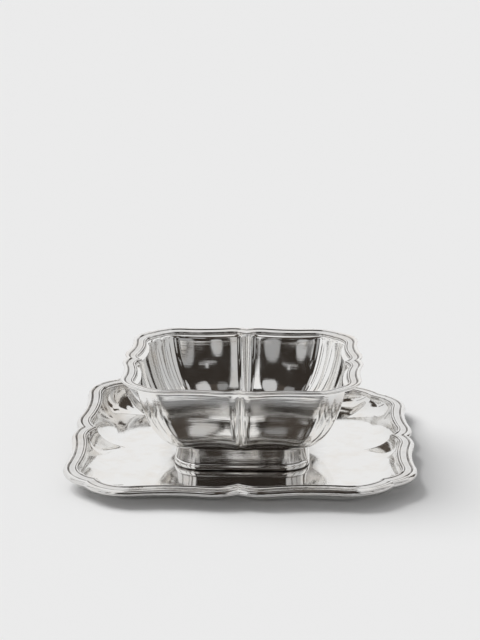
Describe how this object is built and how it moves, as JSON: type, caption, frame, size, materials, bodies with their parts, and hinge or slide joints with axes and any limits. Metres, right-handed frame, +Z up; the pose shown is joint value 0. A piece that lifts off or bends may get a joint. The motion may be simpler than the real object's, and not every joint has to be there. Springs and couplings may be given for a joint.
{
  "type": "sauce bowl on stand",
  "caption": "Square lobed silver sauce bowl on a moulded foot, standing loose in a square dished stand, both with contour-moulded rims.",
  "frame": {"origin": "middle of the stand's underside, on the table", "axes": "+Z up, +Y away from the viewer, +X to the viewer's right; the sides of the square lie along X and Y"},
  "size_m": [0.2302, 0.2302, 0.0654],
  "materials": {
    "silver_sheet": "polished raised silver, lightly worn",
    "silver_moulding": "polished drawn silver moulding, grooves darkened by tarnish"
  },
  "bodies": {
    "stand": {"stand_plate": "silver_sheet", "stand_border_1": "silver_moulding", "stand_border_2": "silver_moulding", "stand_border_3": "silver_moulding", "stand_border_4": "silver_moulding", "stand_border_5": "silver_moulding", "stand_border_6": "silver_moulding", "stand_border_7": "silver_moulding", "stand_border_8": "silver_moulding"},
    "bowl": {"bowl_shell": "silver_sheet", "bowl_border_1": "silver_moulding", "bowl_border_2": "silver_moulding", "bowl_border_3": "silver_moulding", "bowl_border_4": "silver_moulding", "bowl_border_5": "silver_moulding", "bowl_border_6": "silver_moulding", "bowl_border_7": "silver_moulding", "bowl_border_8": "silver_moulding", "foot_collar": "silver_sheet", "foot_base_moulding": "silver_moulding"}
  },
  "joints": [
    {"name": "bowl_lift", "type": "slide", "parent": "stand", "child": "bowl", "axis": [0, 0, 1], "range_m": [0, 0.08]}
  ]
}
